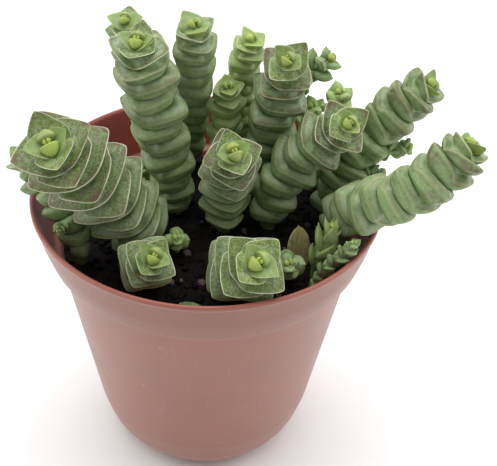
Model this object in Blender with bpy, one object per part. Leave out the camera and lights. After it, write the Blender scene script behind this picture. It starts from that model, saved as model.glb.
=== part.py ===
"""Jade necklace plant in a round nursery pot: pot, potting soil, stems of leaf pairs, two loose leaves.

Lengths are in millimetres up to the last step, where every mesh is written in metres. X is to the right,
Y is away from the front, Z is up, and the origin is the middle of the pot's flat underside.
"""
import math

import bpy
import numpy as np

MM = 0.001

# Pot, radii and heights of the outer wall from the underside up
RIM_RADIUS = 42.5
POT_HEIGHT = 76.5
FOOT_RADIUS = 20.0
COLLAR_FOOT = 63.4
COLLAR_CREASE = 69.0
WALL = 1.2
FLOOR = 1.6
OUTER_WALL = (
    (FOOT_RADIUS, 0.0), (23.0, 1.3), (25.4, 4.0), (27.4, 8.0), (29.0, 14.0), (30.3, 22.0),
    (37.0, COLLAR_FOOT - 1.1), (39.1, COLLAR_FOOT), (40.8, COLLAR_CREASE),
    (RIM_RADIUS - 0.5, POT_HEIGHT - 1.6), (RIM_RADIUS, POT_HEIGHT - 1.0),
    (RIM_RADIUS - 0.1, POT_HEIGHT - 0.2),
    (RIM_RADIUS - 0.4, POT_HEIGHT),
)
LIP_ROUND = 1.4
INNER_LEVELS = (
    POT_HEIGHT - 0.2, POT_HEIGHT - LIP_ROUND, COLLAR_CREASE, COLLAR_FOOT, COLLAR_FOOT - 1.1,
    22.0, 14.0, 8.0, 4.0, FLOOR,
)
POT_SIDES = 48
DRAIN_COUNT = 6
DRAIN_RADIUS = 2.6
DRAIN_CIRCLE = 13.0
DRAIN_SIDES = 12

# Soil, seated with a small gap inside the pot
SEAT_GAP = 0.3
ROOT_GAP = 0.55
SOIL_TOP = 63.5
SOIL_EDGE = 61.6
SOIL_LEVELS = (FLOOR + SEAT_GAP, 4.5, 8.0, 14.0, 22.0, SOIL_EDGE)
SOIL_RINGS = (0.82, 0.62, 0.42, 0.2)
SOIL_SIDES = 32
CUT_CLEAR = 9.0

# Stems
ROOT_DEPTH = 9.0
STALK_SHARE = 0.27
STALK_LEAST = 1.1
FINE_SIDES = 12
PLAIN_SIDES = 8
HOLE_SIDES = 8
APEX_SCALE = (0.24, 0.50, 0.70, 0.87, 0.96)
APEX_CUP = (0.60, 0.40, 0.25, 0.16, 0.12)
GROWN_CUP = 0.10
LOWEST_PAIR = 2.8
TOP_GAP = 1.2
GAP_CHANGE = 4

# One leaf pair, as shares of its reach and of the gap to the next pair
UNDER_SHARE = 0.86
UNDER_DROP = 0.30
UNDER_CUP = 0.8
AXIL_SHARE = 0.56
AXIL_LIFT = 0.24
BUD_HEIGHT = 0.8


def stem(name, root, tip, lean, heading, turn, reach, gap, grown, rise, run, **more):
    """One stem: root on the soil, growing tip, lean and heading of the tip, turn of its top leaf pair."""
    return dict(name=name, root=root, tip=tip, lean=lean, heading=heading, turn=turn, reach=reach, gap=gap,
                grown=grown, rise=rise, run=run,
                **{**dict(waist=0.82, young=0.75, twist=0, spread=1.0, wide=0.0, fine=True), **more})


# Gap is the step between leaf pairs near the tip, and grown the step farther down
# Wide opens the youngest pairs of a flat-headed stem
STEMS = (
    stem("stem_big_left", (-15, -4.3), (-32.5, -24.3, 104.9), 40, -110, 100, 11.1, 2.3, 4.6, 7, 9.5,
         spread=1.25, young=0.85, twist=2),
    stem("stem_front_left", (-16, -16.5), (-11.5, -28.2, 78.4), 33, -57, 69, 7.5, 2.8, 3.7, 2, 8),
    stem("stem_front_middle", (6, -17), (10.7, -37.4, 85.2), 36, -65, 58, 9.3, 2.7, 4.35, 5.5, 16),
    stem("stem_middle", (4, 0.8), (5.7, -10.6, 94.3), 35, -85, -69, 8.0, 2.7, 3.95, 13.8, 12.5, twist=-1.4),
    stem("stem_tall_left", (-8, 8), (-15.5, -3.6, 117.6), 21, -108, 78, 8.2, 2.45, 5.0, 9, 10, twist=-1.6,
         spread=1.1),
    stem("stem_tall_middle", (14, 15), (17.4, 2.2, 110.9), 43, -101, 52, 8.4, 4.6, 5.4, 22.8, 12.5,
         spread=0.8),
    stem("stem_right_middle", (15.3, 2.2), (31.3, -7.7, 100.7), 44, -72, 50, 8.3, 3.3, 5.3, 20, 14,
         twist=-2),
    stem("stem_right_upper", (30.8, 6), (52, 4, 104.5), 48, -15, 5, 7.8, 3.3, 4.6, 16, 12),
    stem("stem_right_lower", (31.6, -4.8), (55.2, -23.2, 106.8), 42, 22, 14, 7.8, 3.0, 4.7, 22, 31,
         young=0.6),
    stem("stem_back_left", (-14, 27), (-19, 8, 117), 20, -113, 82, 5.8, 3.3, 4.9, 11.5, 11.5,
         wide=0.5, fine=False),
    stem("stem_back_middle", (-5, 30), (-3.5, 6.5, 117), 13, -99, 35, 6.2, 3.3, 5.0, 15, 15,
         wide=0.5, fine=False),
    stem("stem_back_right", (8, 30.5), (10, 17.5, 108), 20, -45, 43, 5.5, 3.0, 4.6, 16, 12,
         wide=0.4, fine=False),
    stem("stem_back_short", (3.5, 17), (4.5, 14, 97), 22, -91, 17, 5.7, 2.9, 4.4, 12, 12,
         wide=0.25, fine=False),
    stem("stem_over_rim", (-30, -11.4), (-43.5, -5.5, 89), 33, -163, 30, 5.8, 3.0, 4.3, 14, 5, young=0.6,
         wide=0.4, fine=False),
    stem("stem_behind_left", (23, 22.3), (26.5, 23.6, 86), 22, -123, 20, 4.6, 2.5, 3.8, 8, 7,
         wide=0.3, fine=False),
    stem("stem_behind_right", (29, 15.3), (32, 15.6, 95), 18, -89, 21, 4.6, 2.6, 3.9, 11, 9.5,
         wide=0.3, fine=False),
    stem("shoot_pointed", (15.5, 28), (30.5, 25, 99), 46, -20, 44, 5.4, 3.4, 4.4, 18, 12, waist=0.55,
         fine=False),
    stem("shoot_right", (25.8, -16), (28.9, -17.8, 79.5), 8, 61, -1, 3.8, 2.8, 3.0, 5, 5, fine=False),
    stem("shoot_front", (19, -16.5), (18.5, -24.5, 74), 25, -66, 9, 4.2, 2.4, 3.0, 4, 4, fine=False),
    stem("shoot_rim", (24.5, -22.1), (32.4, -25.5, 81), 29, -82, 8, 2.6, 2.0, 2.2, 5, 5, fine=False),
    stem("shoot_left", (-7.5, -8), (-7, -13.5, 72), 28, -55, 12, 3.6, 2.2, 2.6, 3, 3, fine=False),
    stem("shoot_back", (-21.3, 12.7), (-16.6, 8.6, 76), 28, -122, 12, 3.4, 2.0, 2.4, 4.5, 4.5, fine=False),
)

# Side shoots, each grown out of the middle of a stem, so the root has a height too
SIDE_SHOOTS = (
    stem("side_pointed", (36.5, 6, 83.5), (48.5, 3, 87.5), 72, -14, 60, 3.7, 2.8, 3.2, 0, 3, waist=0.55,
         young=1, fine=False, host="stem_right_upper"),
    stem("side_bud_right", (34.5, 6, 79.5), (42.5, 0, 81.5), 79, -36, 30, 2.2, 1.8, 2.0, 0, 2, young=1,
         fine=False, host="stem_right_upper"),
    stem("side_bud_left", (-32.5, -10.5, 73.5), (-33.5, -18.3, 77.0), 62, -73, 20, 2.0, 1.7, 1.9, 0, 2,
         young=1, fine=False, host="stem_over_rim"),
)

# Loose leaves: middle of the foot, middle of the top, half width, half thickness, direction of the width
OLD_LEAF_SPREAD = (0.6, 0.62, 0.85, 1.0, 0.85, 0.5)
FALLEN_LEAF_SPREAD = (0.6, 1.0, 0.95, 0.55)
OLD_LEAF = dict(name="leaf_withered", foot=(21.5, -12.5, 60.5), top=(21.2, -13.5, 76.0), half_width=2.6,
                half_depth=1.1, heading=10)
FALLEN_LEAF = dict(name="leaf_fallen", foot=(-6.4, -28.7, 63.6), top=(0.4, -29.8, 63.9), half_width=1.9,
                   half_depth=1.0, heading=80)


def clear_scene():
    """Remove the objects that the start-up file brings."""
    for thing in list(bpy.data.objects):
        bpy.data.objects.remove(thing, do_unlink=True)


def plain_material(name, colour, roughness):
    """A Principled material with one colour."""
    material = bpy.data.materials.new(name)
    material.use_nodes = True
    shader = material.node_tree.nodes["Principled BSDF"]
    shader.inputs["Base Color"].default_value = (*colour, 1.0)
    shader.inputs["Roughness"].default_value = roughness
    return material


def mesh_object(name, points, faces, material):
    """An object from points in millimetres."""
    mesh = bpy.data.meshes.new(name)
    mesh.from_pydata([tuple(float(value) * MM for value in point) for point in points], [], faces)
    mesh.update()
    thing = bpy.data.objects.new(name, mesh)
    bpy.context.scene.collection.objects.link(thing)
    if material:
        mesh.materials.append(material)
    return thing


def boolean(thing, cutter, operation):
    """Cut or join with a hidden helper."""
    modifier = thing.modifiers.new(cutter.name, "BOOLEAN")
    modifier.operation = operation
    modifier.solver = "EXACT"
    modifier.object = cutter
    cutter.hide_render = True
    cutter.display_type = "WIRE"


def loft(rings, first, last):
    """Closed skin over rings of equal size, with a middle point under the first and over the last."""
    sides = len(rings[0])
    points = [first, *[point for ring in rings for point in ring], last]
    faces = []
    for side in range(sides):
        after = (side + 1) % sides
        faces.append((0, 1 + after, 1 + side))
        for level in range(len(rings) - 1):
            low = 1 + level * sides
            high = low + sides
            faces.append((low + side, low + after, high + after, high + side))
        top = 1 + (len(rings) - 1) * sides
        faces.append((top + side, top + after, len(points) - 1))
    return points, faces


def circle(radius, height, sides, middle=(0.0, 0.0)):
    """Points of a level circle."""
    angles = [2 * math.pi * step / sides for step in range(sides)]
    return [(middle[0] + radius * math.cos(a), middle[1] + radius * math.sin(a), height) for a in angles]


def wall_radius(height):
    """Outer radius of the pot at a height."""
    radii, heights = zip(*OUTER_WALL)
    return float(np.interp(height, heights, radii))


def make_pot(material):
    """Thin turned pot with a flared collar, a rolled lip and a ring of drain holes."""
    outside = [circle(radius, height, POT_SIDES) for radius, height in OUTER_WALL]
    inside = [circle(wall_radius(height) - WALL, height, POT_SIDES) for height in INNER_LEVELS]
    points, faces = loft(outside + inside, (0, 0, 0), (0, 0, FLOOR))
    pot = mesh_object("pot", points, faces, material)
    drills = []
    for index in range(DRAIN_COUNT):
        angle = 2 * math.pi * (index + 0.5) / DRAIN_COUNT
        middle = (DRAIN_CIRCLE * math.cos(angle), DRAIN_CIRCLE * math.sin(angle))
        drills.append((middle, DRAIN_RADIUS, -CUT_CLEAR, FLOOR + CUT_CLEAR))
    boolean(pot, pegs("drain_cutter", drills, DRAIN_SIDES), "DIFFERENCE")
    return pot


def pegs(name, list_of_pegs, sides):
    """Upright round pegs in one mesh: middle, radius, low end and high end of each."""
    points = []
    faces = []
    for middle, radius, low, high in list_of_pegs:
        rings = [circle(radius, low, sides, middle), circle(radius, high, sides, middle)]
        more_points, more_faces = loft(rings, (*middle, low), (*middle, high))
        faces += [tuple(index + len(points) for index in face) for face in more_faces]
        points += more_points
    return mesh_object(name, points, faces, None)


def soil_height(x, y):
    """Slightly domed, uneven surface of the soil."""
    out = math.hypot(x, y) / (wall_radius(SOIL_EDGE) - WALL - SEAT_GAP)
    waves = 0.22 * math.sin(0.42 * x + 1.1) * math.cos(0.37 * y) + 0.14 * math.sin(0.9 * y + 0.5 * x)
    return SOIL_TOP - (SOIL_TOP - SOIL_EDGE) * out ** 3 + waves * (1 - out ** 4)


def make_soil(material):
    """Soil filling the pot, with a plain hole for each root."""
    inset = WALL + SEAT_GAP
    body = [circle(wall_radius(height) - inset, height, SOIL_SIDES) for height in SOIL_LEVELS]
    edge = wall_radius(SOIL_EDGE) - inset
    top = []
    for share in SOIL_RINGS:
        ring = circle(edge * share, 0.0, SOIL_SIDES)
        top.append([(x, y, soil_height(x, y)) for x, y, _ in ring])
    points, faces = loft(body + top, (0, 0, FLOOR + SEAT_GAP), (0, 0, soil_height(0, 0)))
    soil = mesh_object("soil", points, faces, material)
    holes = []
    high = SOIL_TOP + CUT_CLEAR
    for plan in STEMS:
        holes.append((plan["root"], stalk_radius(plan) + ROOT_GAP, SOIL_TOP - ROOT_DEPTH - SEAT_GAP, high))
    foot = OLD_LEAF["foot"]
    leaf_hole = OLD_LEAF["half_width"] * OLD_LEAF_SPREAD[1] + ROOT_GAP
    holes.append((foot[:2], leaf_hole, foot[2] - 2 * SEAT_GAP, high))
    boolean(soil, pegs("root_cutter", holes, HOLE_SIDES), "DIFFERENCE")
    return soil


def stalk_radius(plan):
    """Radius of the bare stalk in the soil."""
    return max(STALK_LEAST, STALK_SHARE * plan["reach"])


def unit(vector):
    """The vector at length one."""
    return vector / np.linalg.norm(vector)


def tip_direction(plan):
    """Direction in which the growing tip points."""
    lean, heading = math.radians(plan["lean"]), math.radians(plan["heading"])
    return np.array((math.sin(lean) * math.cos(heading), math.sin(lean) * math.sin(heading), math.cos(lean)))


def root_point(plan):
    """Start of the middle line: on the soil, or inside the host of a side shoot."""
    return np.array(plan["root"] if len(plan["root"]) == 3 else (*plan["root"], SOIL_TOP), float)


def stem_curve(plan, samples=160):
    """Smooth middle line of a stem from the soil to the tip, with the length run at each point."""
    start = root_point(plan)
    end = np.array(plan["tip"], float)
    first = start + np.array((0, 0, plan["rise"]), float)
    second = end - plan["run"] * tip_direction(plan)
    share = np.linspace(0, 1, samples)[:, None]
    left = 1 - share
    middle = 3 * left ** 2 * share * first + 3 * left * share ** 2 * second
    line = left ** 3 * start + middle + share ** 3 * end
    steps = np.linalg.norm(np.diff(line, axis=0), axis=1)
    return line, np.concatenate(((0.0,), np.cumsum(steps)))


def leaf_pairs(plan):
    """Leaf pairs from the tip down: middle, stem direction, two cross directions, reach, cup, gap."""
    line, run = stem_curve(plan)
    whole = run[-1]
    turn = math.radians(plan["turn"])
    across = np.array((math.cos(turn), math.sin(turn), 0.0))
    pairs = []
    below = 0.0
    while whole - below > LOWEST_PAIR:
        index = len(pairs)
        at = whole - below
        middle, before, after = (np.array([np.interp(place, run, line[:, k]) for k in range(3)])
                                 for place in (at, max(at - 0.5, 0.0), min(at + 0.5, whole)))
        along = unit(after - before)
        across = unit(across - along * (along @ across))
        size = APEX_SCALE[index] ** (plan["spread"] if index else 1) if index < len(APEX_SCALE) else 1.0
        cup = APEX_CUP[index] if index < len(APEX_CUP) else GROWN_CUP
        grown = plan["young"] + (1 - plan["young"]) * at / (0.35 * whole)
        share = size * min(1.0, grown) * (1 - 0.1 * below / whole)
        reach = plan["reach"] * share
        if 0 < index < len(APEX_SCALE):
            reach *= APEX_SCALE[index] ** -plan["wide"]
        gap = plan["gap" if index < GAP_CHANGE else "grown"] * share * (TOP_GAP if index == 0 else 1.0)
        swing = math.radians(plan["twist"] * index)
        side = across * math.cos(swing) + np.cross(along, across) * math.sin(swing)
        pairs.append(dict(middle=middle, along=along, side=side, other=np.cross(along, side), reach=reach,
                          cup=cup, gap=gap, crossed=index % 2 == 1))
        below += gap
    return pairs


def pair_outline(waist, sides, power=1.7):
    """Reach of a pair's edge at even angles from its leaf tip, for edges y = waist (1 - |x| ** power)."""
    reaches = []
    for step in range(sides):
        angle = 2 * math.pi * step / sides
        along, across = abs(math.cos(angle)), abs(math.sin(angle))
        low, high = 0.0, 1.5
        for _ in range(40):
            middle = (low + high) / 2
            inside = middle * across < waist * (1 - min(1.0, middle * along) ** power)
            low, high = (middle, high) if inside else (low, middle)
        reaches.append(low)
    return reaches


def ring_of_pair(pair, outline, share, lift, cup):
    """Ring round a pair: a share of its outline, lifted along the stem and more at the leaf tips."""
    sides = len(outline)
    ring = []
    for step in range(sides):
        angle = 2 * math.pi * step / sides
        turned = (step + sides // 4) % sides if pair["crossed"] else step
        reach = pair["reach"] * share * outline[turned]
        toward_tip = abs(math.cos(angle + (math.pi / 2 if pair["crossed"] else 0))) * outline[turned]
        rise = lift + cup * pair["reach"] * toward_tip ** 1.3
        flat = pair["side"] * math.cos(angle) + pair["other"] * math.sin(angle)
        ring.append(pair["middle"] + flat * reach + pair["along"] * rise)
    return ring


def stalk_rings(plan, pair, sides):
    """Bare stalk rings from the deep end of the root to just under the lowest pair."""
    radius = stalk_radius(plan)
    rings = []
    if "host" in plan:
        inner = dict(pair, middle=root_point(plan), reach=radius)
        return [ring_of_pair(inner, [1.0] * sides, 1.0, 0.0, 0.0)]
    for height in (SOIL_TOP - ROOT_DEPTH, SOIL_TOP + 1.0):
        ring = []
        for step in range(sides):
            angle = 2 * math.pi * step / sides
            flat = pair["side"] * math.cos(angle) + pair["other"] * math.sin(angle)
            level = unit(np.array((flat[0], flat[1], 0.0)))
            ring.append(np.array((*plan["root"], height)) + radius * level)
        rings.append(ring)
    return rings


def stem_mesh(plan):
    """Skin of a whole stem, from the deep end of the root to the bud."""
    sides = FINE_SIDES if plan["fine"] else PLAIN_SIDES
    outline = pair_outline(plan["waist"], sides)
    round_ring = [1.0] * sides
    pairs = leaf_pairs(plan)[::-1]
    rings = stalk_rings(plan, pairs[0], sides)
    for order, pair in enumerate(pairs):
        if plan["fine"]:
            drop = UNDER_DROP * pair["gap"]
            rings.append(ring_of_pair(pair, outline, UNDER_SHARE, -drop, pair["cup"] * UNDER_CUP))
        rings.append(ring_of_pair(pair, outline, 1.0, 0.0, pair["cup"]))
        if order < len(pairs) - 1:
            axil = min(AXIL_SHARE, 0.8 * pairs[order + 1]["reach"] / pair["reach"])
            rings.append(ring_of_pair(pair, round_ring, axil, AXIL_LIFT * pair["gap"], 0.0))
    last = pairs[-1]
    foot = sum(rings[0]) / sides
    return loft(rings, foot, last["middle"] + last["along"] * last["reach"] * BUD_HEIGHT)


def make_stem(plan, material):
    """One stem as one closed solid, with its side shoots grown into it."""
    stem_body = mesh_object(plan["name"], *stem_mesh(plan), material)
    for shoot in SIDE_SHOOTS:
        if shoot["host"] == plan["name"]:
            boolean(stem_body, mesh_object(shoot["name"], *stem_mesh(shoot), None), "UNION")
    return stem_body


def make_leaf(plan, material, spread):
    """A single thick leaf from foot to pointed top; spread gives the width at even steps along it."""
    foot, top = np.array(plan["foot"], float), np.array(plan["top"], float)
    along = unit(top - foot)
    heading = math.radians(plan["heading"])
    wide = np.array((math.cos(heading), math.sin(heading), 0.0))
    wide = unit(wide - along * (along @ wide))
    deep = np.cross(along, wide)
    rings = []
    for order, share in enumerate(spread):
        middle = foot + (top - foot) * (order + 0.5) / len(spread)
        ring = []
        for step in range(PLAIN_SIDES):
            angle = 2 * math.pi * step / PLAIN_SIDES
            ring.append(middle + share * (wide * plan["half_width"] * math.cos(angle)
                                          + deep * plan["half_depth"] * math.sin(angle)))
        rings.append(ring)
    points, faces = loft(rings, foot, top)
    return mesh_object(plan["name"], points, faces, material)


def main():
    """Build every piece."""
    clear_scene()
    make_pot(plain_material("pot_plastic", (0.42, 0.18, 0.14), 0.5))
    make_soil(plain_material("soil", (0.03, 0.024, 0.02), 0.95))
    leaf_green = plain_material("leaf_green", (0.22, 0.34, 0.17), 0.5)
    for plan in STEMS:
        make_stem(plan, leaf_green)
    make_leaf(OLD_LEAF, plain_material("leaf_dry", (0.33, 0.25, 0.12), 0.7), OLD_LEAF_SPREAD)
    make_leaf(FALLEN_LEAF, leaf_green, FALLEN_LEAF_SPREAD)


main()
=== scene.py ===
"""Looks of the potted jade necklace: fleshy leaf pairs, potting soil and a matt nursery pot.

Plant sizes are in millimetres until a mesh is made. X is to the right, Y away from the front, Z up.
"""

import math
from types import SimpleNamespace

import bpy
import numpy as np
from mathutils import Matrix, Vector, noise


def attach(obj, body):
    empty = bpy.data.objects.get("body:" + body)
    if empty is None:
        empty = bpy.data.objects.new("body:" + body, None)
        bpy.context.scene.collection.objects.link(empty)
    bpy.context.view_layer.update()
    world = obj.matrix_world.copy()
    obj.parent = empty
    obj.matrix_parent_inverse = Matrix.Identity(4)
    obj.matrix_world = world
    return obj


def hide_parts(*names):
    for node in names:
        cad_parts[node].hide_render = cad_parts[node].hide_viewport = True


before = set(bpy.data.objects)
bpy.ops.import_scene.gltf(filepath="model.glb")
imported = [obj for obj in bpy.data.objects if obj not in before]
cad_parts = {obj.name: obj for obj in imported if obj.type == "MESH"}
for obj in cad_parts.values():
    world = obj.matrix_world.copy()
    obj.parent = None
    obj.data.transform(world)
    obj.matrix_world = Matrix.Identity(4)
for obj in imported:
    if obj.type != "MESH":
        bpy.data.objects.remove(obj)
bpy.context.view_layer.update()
MM = 0.001

# Camera, in millimetres and degrees, with its near limit in metres
CAMERA_PLACE = (0.0, -193.1, 219.0)
CAMERA_AIM = (10.0, -6.85, 68.0)
CAMERA_ROLL = 2.81
CAMERA_LENS = 71.75
SENSOR_WIDTH = 36.0
NEAR_LIMIT = 0.01

# Stage, in metres: lights have a name, a place, a size and a power
FLOOR_WIDTH = 6.0
SKY_STRENGTH = 0.48
LIGHT_AIM = (0, 0, 0.07)
LIGHTS = (
    ("top", (0.0, 0.15, 0.75), 0.9, 6.5),
    ("left", (-0.8, 0.1, 0.45), 0.6, 3.0),
    ("right", (0.8, 0.1, 0.45), 0.6, 3.0),
)

# Pot: profiles are pairs of radius and height
POT_HEIGHT = 76.5
RIM_RADIUS = 42.5
FOOT_RADIUS = 20.0
COLLAR_FOOT = 63.4
COLLAR_CREASE = 69.0
NECK = COLLAR_FOOT - 1.1
WALL = 1.2
FLOOR = 1.6
UNDERSIDE_LIFT = 0.35
FOOT_RING = ((FOOT_RADIUS - 2.5, UNDERSIDE_LIFT), (FOOT_RADIUS - 1.2, 0.0))
OUTER_WALL = (
    (FOOT_RADIUS, 0.0), (23.0, 1.3), (25.4, 4.0), (27.4, 8.0), (29.0, 14.0), (30.3, 22.0),
    (37.0, NECK), (39.1, COLLAR_FOOT), (40.8, COLLAR_CREASE),
    (RIM_RADIUS - 0.5, POT_HEIGHT - 1.6), (RIM_RADIUS, POT_HEIGHT - 1.0),
    (RIM_RADIUS - 0.1, POT_HEIGHT - 0.2), (RIM_RADIUS - 0.4, POT_HEIGHT),
)
LIP = ((RIM_RADIUS - 0.8, POT_HEIGHT - 0.1), (RIM_RADIUS - 1.25, POT_HEIGHT - 0.5))
INNER_HEIGHTS = (POT_HEIGHT - 1.4, COLLAR_CREASE, COLLAR_FOOT, NECK, 22.0, 14.0, 8.0, 4.0, FLOOR)
CORNER_ROUNDING = 0.8
CORNER_SHARE = 0.45
CORNER_STEPS = 3
SHARP_DEGREES = 50
POT_SIDES = 192
DRAIN_COUNT = 6
DRAIN_RADIUS = 2.6
DRAIN_CIRCLE = 13.0
DRAIN_SIDES = 32
DRILL_LENGTH = 20.0

# Heights between which the pot's colours change, painted shade on the inner wall among them, and radii of
# its inner wall
COLLAR_TINT = (63.0, 63.6)
LIP_TINT = (75.5, 75.9)
INSIDE_TINT = (63.4, 63.8)
NECK_TINT = (58.0, 60.0)
COLLAR_SLOPE = 0.26
INNER_EDGE = 38.45
NECK_EDGE = 36.3
EDGE_BLEND = 0.2
NECK_BLEND = 0.3

# Soil: waves are pairs of size and depth, crumb sizes are radii
SOIL_SEED = 7
SOIL_TOP = 63.5
SOIL_EDGE = 61.6
SOIL_WAVES = ((9.0, 0.5), (3.2, 0.5), (1.3, 0.35), (0.6, 0.2))
SOIL_SIDE_HEIGHTS = (FLOOR + 0.3, 4.5, 8, 14, 22, SOIL_EDGE - 1)
SOIL_SIDE_GAP = 0.15
SOIL_EDGE_GAP = 0.1
SOIL_SIDES = 168
SOIL_RINGS = 70
SOIL_INNERMOST = 0.03
CRUMB_COUNT = 1100
PALE_COUNT = 70
CRUMB_SIZE = (0.35, 0.9)
PALE_SIZE = (0.45, 1.15)
PALE_TONE = (0.6, 1.0)
CRUMB_STRETCH = ((0.7, 1.4), (0.7, 1.2), (0.5, 0.9))
CRUMB_BUMPS = 0.25
CRUMB_RISE = 0.25
CRUMB_SPREAD = 0.975

# What a stem's row says beyond its place and size, where it doesn't say otherwise
STEM_DEFAULTS = dict(
    waist=0.82,  # breadth of a leaf pair across its tips, as a share of its reach
    young=0.75,  # size of the lowest pairs
    twist=0,  # degrees that each pair turns on
    spread=1.0,  # how small the youngest pairs are
    wide=0.0,  # opens the youngest pairs of a flat-headed stem
    fine=True,  # finer skin, for the stems that are sharp in front
    blush=0.5,  # purple-brown tint
    crisp=2,  # pairs that keep a young leaf's looks
    stout=0.0,  # pairs that keep a young leaf's shape; 0 takes crisp
    sunk=0.0,  # how deep the bud sits in its first leaves
    fat=1.0,  # thickness of the young pairs
    cupped=1.0,  # how far the young pairs curve up
    inner=1.0,  # size of the bud and the first pair
    lift=0.0,  # rise of the separate leaves of a young shoot
    loose=(1, 5),  # slice of the pairs that have such leaves
    crowd=None,  # heading of a neighbour that holds such leaves back
)
LEANING = dict(blush=1.1, crisp=1.6, stout=0.6, sunk=0.6, fat=1.9, cupped=0.8, inner=0.95)
FAR = dict(fine=False, sunk=0.25, fat=1.3, cupped=0.6)
SMALL = dict(fine=False, sunk=0.25, fat=1.5)


def stem(name, root, tip, lean, heading, turn, reach, gap, grown, rise, run, **more):
    """One stem: root on the soil, tip, lean and heading of the tip, turn of its top leaf pair."""
    return dict(name=name, root=root, tip=tip, lean=lean, heading=heading, turn=turn, reach=reach, gap=gap,
                grown=grown, rise=rise, run=run, **{**STEM_DEFAULTS, **more})


# Gap is the step between leaf pairs near the tip, and grown the step farther down.
# Rise and run say how far the root's upright direction and the tip's lean carry along the stem.
STEMS = (
    stem("stem_big_left", (-15, -4.3), (-32.5, -24.3, 104.9), 40, -110, 100, 11.1, 2.3, 4.6, 7, 9.5,
         spread=1.25, young=0.85, twist=2, blush=1.2, crisp=9),
    stem("stem_front_left", (-16, -16.5), (-11.5, -28.2, 78.4), 33, -57, 69, 7.5, 2.8, 3.7, 2, 8, crisp=4),
    stem("stem_front_middle", (6, -17), (10.7, -37.4, 85.2), 36, -65, 58, 9.3, 2.7, 4.35, 5.5, 16, crisp=6),
    stem("stem_middle", (4, 0.8), (5.7, -10.6, 94.3), 35, -85, -69, 8.0, 2.7, 3.95, 13.8, 12.5,
         twist=-1.4, blush=1.2, crisp=5),
    stem("stem_tall_left", (-8, 8), (-15.5, -3.6, 117.6), 21, -108, 78, 8.2, 2.45, 5.0, 9, 10,
         twist=-1.6, spread=1.1, blush=0.8, crisp=2.5),
    stem("stem_tall_middle", (14, 15), (17.4, 2.2, 110.9), 43, -101, 52, 8.1, 4.6, 5.4, 22.8, 12.5,
         spread=0.8, blush=1.4, crisp=4, inner=0.80),
    stem("stem_right_middle", (15.3, 2.2), (31.3, -7.7, 100.7), 44, -72, 50, 8.0, 3.3, 5.3, 20, 14,
         twist=-2, blush=1.4, crisp=4, inner=0.80),
    stem("stem_right_upper", (30.8, 6), (52, 4, 104.5), 48, -15, 5, 7.8, 3.3, 4.6, 16, 12, **LEANING),
    stem("stem_right_lower", (31.6, -4.8), (55.2, -23.2, 106.8), 42, 22, 14, 7.8, 3.0, 4.7, 22, 31,
         young=0.6, **LEANING),
    stem("stem_back_left", (-14, 27), (-19, 8, 117), 20, -113, 82, 5.8, 3.3, 4.9, 11.5, 11.5,
         wide=0.5, **FAR),
    stem("stem_back_middle", (-5, 30), (-3.5, 6.5, 117), 13, -99, 35, 6.2, 3.3, 5.0, 15, 15,
         wide=0.5, **FAR),
    stem("stem_back_right", (8, 30.5), (10, 17.5, 108), 20, -45, 43, 5.5, 3.0, 4.6, 16, 12,
         wide=0.4, **FAR),
    stem("stem_back_short", (3.5, 17), (4.5, 14, 97), 22, -91, 17, 5.4, 2.9, 4.4, 12, 12,
         wide=0.25, blush=0.1, **FAR),
    stem("stem_over_rim", (-30, -11.4), (-43.5, -5.5, 89), 33, -163, 30, 5.4, 3.0, 4.3, 14, 5,
         young=0.6, wide=0.4, fine=False, sunk=0.25, fat=1.2, blush=0.2),
    stem("stem_behind_left", (23, 22.3), (26.5, 23.6, 86), 22, -123, 20, 4.6, 2.5, 3.8, 8, 7,
         wide=0.3, lift=0.5, blush=0.1, **FAR),
    stem("stem_behind_right", (29, 15.3), (32, 15.6, 95), 18, -89, 21, 4.6, 2.6, 3.9, 11, 9.5,
         wide=0.3, lift=0.5, blush=0.1, **FAR),
    stem("shoot_pointed", (15.5, 28), (30.5, 25, 99), 46, -20, 44, 5.4, 3.4, 4.4, 18, 12,
         waist=0.55, lift=0.45, blush=0.2, **SMALL),
    stem("shoot_right", (25.8, -16), (28.9, -17.8, 79.5), 8, 61, -1, 3.8, 2.8, 3.0, 5, 5,
         lift=1.7, loose=(2, 7), crowd=28, blush=0.2, **SMALL),
    stem("shoot_front", (19, -16.5), (18.5, -24.5, 74), 25, -66, 9, 4.2, 2.4, 3.0, 4, 4,
         lift=0.6, blush=0.2, **SMALL),
    stem("shoot_rim", (24.5, -22.1), (32.4, -25.5, 81), 29, -82, 8, 2.6, 2.0, 2.2, 5, 5,
         lift=0.9, loose=(1, 9), crowd=110, blush=0.1, **SMALL),
    stem("shoot_left", (-7.5, -8), (-7, -13.5, 72), 28, -55, 12, 3.6, 2.2, 2.6, 3, 3,
         lift=0.5, blush=0.1, **SMALL),
    stem("shoot_back", (-21.3, 12.7), (-16.6, 8.6, 76), 28, -122, 12, 3.4, 2.0, 2.4, 4.5, 4.5,
         lift=0.6, blush=0.1, **SMALL),
)

# Side shoots, each grown out of the middle of a stem, so the root has a height too
SIDE_SHOOTS = (
    stem("side_pointed", (36.5, 6, 83.5), (48.5, 3, 87.5), 72, -14, 60, 3.7, 2.8, 3.2, 0, 3,
         waist=0.55, young=1, lift=0.5, host="stem_right_upper", blush=0.3, **SMALL),
    stem("side_bud_right", (34.5, 6, 79.5), (42.5, 0, 81.5), 79, -36, 30, 2.2, 1.8, 2.0, 0, 2,
         young=1, lift=0.6, host="stem_right_upper", blush=0.0, **SMALL),
    stem("side_bud_left", (-32.5, -10.5, 73.5), (-33.5, -18.3, 77.0), 62, -73, 20, 2.0, 1.7, 1.9, 0, 2,
         young=1, lift=0.6, host="stem_over_rim", blush=0.0, **SMALL),
)

# Some small stems have a paler, yellower skin: partly their own tone, partly painted light that lifts them
# out of the shade of the other stems
PALE_AND_LIT_SHARE = 0.28
PALE_AND_LIT_STEMS = ("stem_back_right", "stem_back_short", "stem_behind_left", "stem_behind_right", "shoot_right",
               "shoot_left", "shoot_back")

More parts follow.
